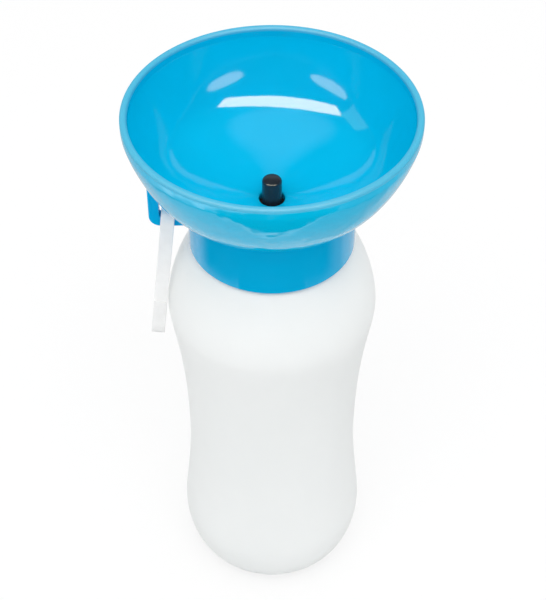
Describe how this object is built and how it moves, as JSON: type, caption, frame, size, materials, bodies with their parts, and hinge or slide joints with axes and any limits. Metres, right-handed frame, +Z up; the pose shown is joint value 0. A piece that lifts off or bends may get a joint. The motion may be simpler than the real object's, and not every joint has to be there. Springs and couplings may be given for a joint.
{
  "type": "dog travel water bottle",
  "caption": "Squeeze water bottle with a flared drinking bowl that screws onto its neck, a valve stem in the bowl's floor, a riser tube inside and a hanging hand strap.",
  "frame": {"origin": "centre of the foot ring that the bottle stands on", "axes": "+Z up along the bottle's axis; -X towards the strap bracket; -Y towards the picture's camera"},
  "size_m": [0.0988, 0.0988, 0.2195],
  "materials": {
    "translucent_bottle": "smooth, milky, slightly see-through",
    "clear_tube": "smooth, milky",
    "black_plastic": "fine moulded",
    "seal_rubber": "matt rubber",
    "gloss_black": "glossy moulded",
    "gasket_rubber": "soft silicone",
    "blue_collar": "glossy moulded",
    "blue_bowl": "glossy moulded",
    "white_strap": "smooth, soft, satin"
  },
  "bodies": {
    "bottle": {"bottle": "translucent_bottle", "riser_tube": "clear_tube", "valve_carrier": "black_plastic", "carrier_seal": "seal_rubber", "valve_stem": "gloss_black", "stem_seal": "seal_rubber"},
    "neck_seal": {"neck_gasket": "gasket_rubber"},
    "bowl_head": {"collar": "blue_collar", "bowl": "blue_bowl", "strap_bracket": "blue_collar"},
    "strap": {"hand_strap": "white_strap"}
  },
  "joints": [
    {"name": "bowl_turn", "type": "hinge", "parent": "bottle", "child": "neck_seal", "pos_m": [0, 0, 0.18], "axis": [0, 0, 1], "range_deg": [0, 720]},
    {"name": "bowl_lift", "type": "slide", "parent": "neck_seal", "child": "bowl_head", "axis": [0, 0, 1], "range_m": [0, 0.008]},
    {"name": "strap_swing", "type": "hinge", "parent": "bowl_head", "child": "strap", "pos_m": [-0.0361, 0, 0.173], "axis": [1, 0, 0], "range_deg": [-90, 90]}
  ],
  "couplings": [
    {"joint": "bowl_lift", "follows": "bowl_turn", "m_per_rad": 0.00063662}
  ]
}
